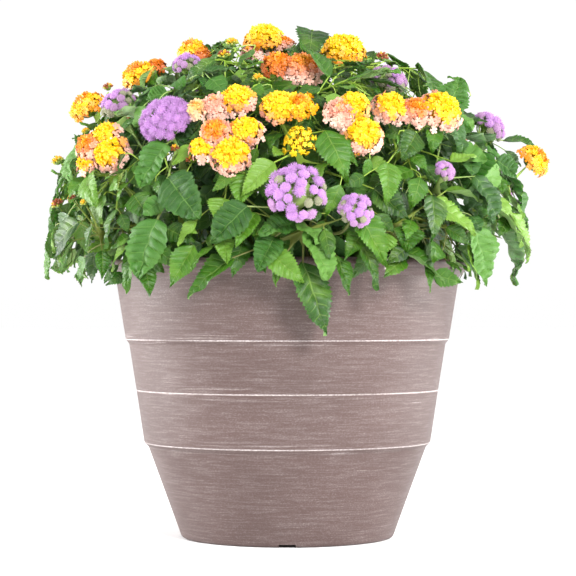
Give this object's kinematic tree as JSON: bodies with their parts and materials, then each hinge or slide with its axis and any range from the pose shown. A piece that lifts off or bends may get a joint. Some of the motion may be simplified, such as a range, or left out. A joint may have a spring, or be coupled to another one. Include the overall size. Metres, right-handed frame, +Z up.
{
  "type": "planted flower pot",
  "caption": "Round stepped resin planter filled with a mounded mix of lantana in yellow, orange and pink and violet ageratum, leaves spilling over the rim.",
  "frame": {"origin": "middle of the underside of the pot's foot, on the ground", "axes": "+Z up along the pot's axis, -Y towards the side that the picture shows, +X to its right"},
  "size_m": [0.529, 0.4884, 0.536],
  "materials": {
    "whitewashed_resin": "taupe-mauve resin with a brushed whitewash",
    "potting_mix": null,
    "lantana_leaf": "satin mid-green leaf, rough and veined",
    "ageratum_leaf": "matte blue-green leaf, quilted and downy",
    "lantana_petals": "soft matte petals, yellow through orange to pink",
    "ageratum_florets": "fluffy matte violet florets"
  },
  "bodies": {
    "root": {"ageratum_bloom_back": "ageratum_florets", "ageratum_bloom_back_left": "ageratum_florets", "ageratum_bloom_back_right": "ageratum_florets", "ageratum_bloom_front": "ageratum_florets", "ageratum_bloom_front_right": "ageratum_florets", "ageratum_bloom_left": "ageratum_florets", "ageratum_bloom_left_middle": "ageratum_florets", "ageratum_bloom_right": "ageratum_florets", "ageratum_bloom_right_low": "ageratum_florets", "ageratum_bloom_top_left": "ageratum_florets", "ageratum_bloom_top_right": "ageratum_florets", "ageratum_stem_back": "ageratum_leaf", "ageratum_stem_back_left": "ageratum_leaf", "ageratum_stem_back_right": "ageratum_leaf", "ageratum_stem_front": "ageratum_leaf", "ageratum_stem_left": "ageratum_leaf", "ageratum_stem_left_middle": "ageratum_leaf", "ageratum_stem_right": "ageratum_leaf", "ageratum_stem_top_left": "ageratum_leaf", "ageratum_stem_top_right": "ageratum_leaf", "lantana_bloom_back_left": "lantana_petals", "lantana_bloom_back_middle_left": "lantana_petals", "lantana_bloom_back_middle_right": "lantana_petals", "lantana_bloom_back_right": "lantana_petals", "lantana_bloom_back_top": "lantana_petals", "lantana_bloom_centre": "lantana_petals", "lantana_bloom_centre_low": "lantana_petals", "lantana_bloom_centre_right": "lantana_petals", "lantana_bloom_far_right": "lantana_petals", "lantana_bloom_left_front": "lantana_petals", "lantana_bloom_left_high": "lantana_petals", "lantana_bloom_left_top": "lantana_petals", "lantana_bloom_middle_high": "lantana_petals", "lantana_bloom_middle_low": "lantana_petals", "lantana_bloom_right_front": "lantana_petals", "lantana_bloom_top": "lantana_petals", "lantana_bloom_top_left": "lantana_petals", "lantana_bloom_top_middle": "lantana_petals", "lantana_bloom_top_right": "lantana_petals", "lantana_stem_back_left": "lantana_leaf", "lantana_stem_back_middle_left": "lantana_leaf", "lantana_stem_back_middle_right": "lantana_leaf", "lantana_stem_back_right": "lantana_leaf", "lantana_stem_back_top": "lantana_leaf", "lantana_stem_centre": "lantana_leaf", "lantana_stem_centre_low": "lantana_leaf", "lantana_stem_centre_right": "lantana_leaf", "lantana_stem_far_right": "lantana_leaf", "lantana_stem_left_front": "lantana_leaf", "lantana_stem_left_high": "lantana_leaf", "lantana_stem_left_top": "lantana_leaf", "lantana_stem_middle_high": "lantana_leaf", "lantana_stem_middle_low": "lantana_leaf", "lantana_stem_right_front": "lantana_leaf", "lantana_stem_top": "lantana_leaf", "lantana_stem_top_left": "lantana_leaf", "lantana_stem_top_right": "lantana_leaf", "pot": "whitewashed_resin", "potting_mix": "potting_mix"}
  },
  "joints": []
}
